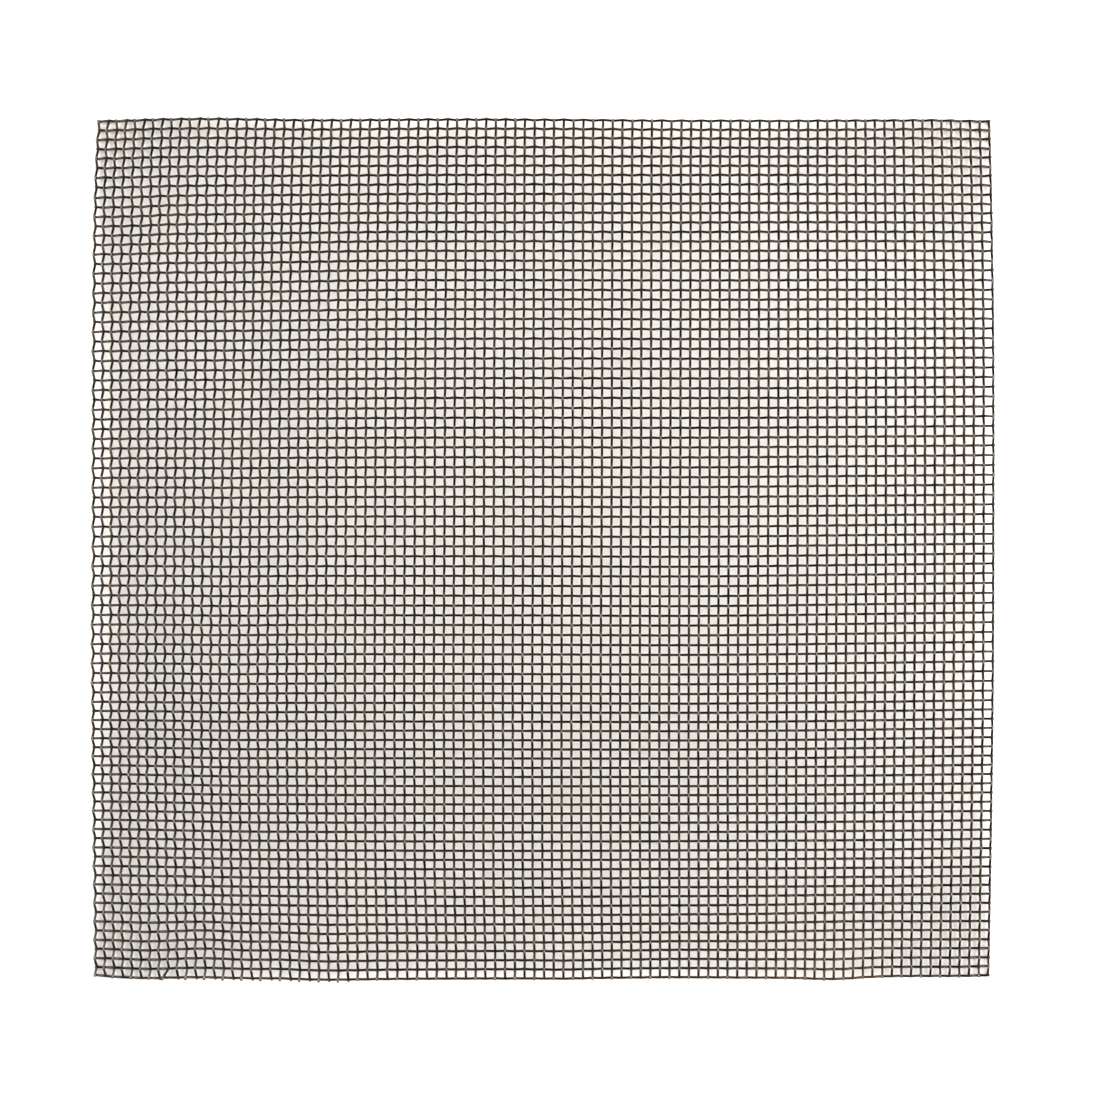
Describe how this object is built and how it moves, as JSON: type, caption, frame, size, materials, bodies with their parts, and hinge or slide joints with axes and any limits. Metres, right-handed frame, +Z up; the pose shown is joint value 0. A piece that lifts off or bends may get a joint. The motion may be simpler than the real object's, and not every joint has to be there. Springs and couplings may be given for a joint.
{
  "type": "wire gauze",
  "caption": "Square of plain woven iron wire gauze, cut flush with no frame, that carries a flask or beaker on a tripod and spreads the heat of a burner.",
  "frame": {"origin": "below the middle of the sheet, level with the surface that its four corners rest on", "axes": "+X across the sheet along its longer side, +Y up the sheet as it is looked down on, +Z up"},
  "size_m": [0.1506, 0.1438, 0.0048],
  "materials": {
    "wire": "dull dark brown oxidised iron wire, with a soft grey shine on the crowns"
  },
  "bodies": {
    "root": {"gauze": "wire"}
  },
  "joints": []
}
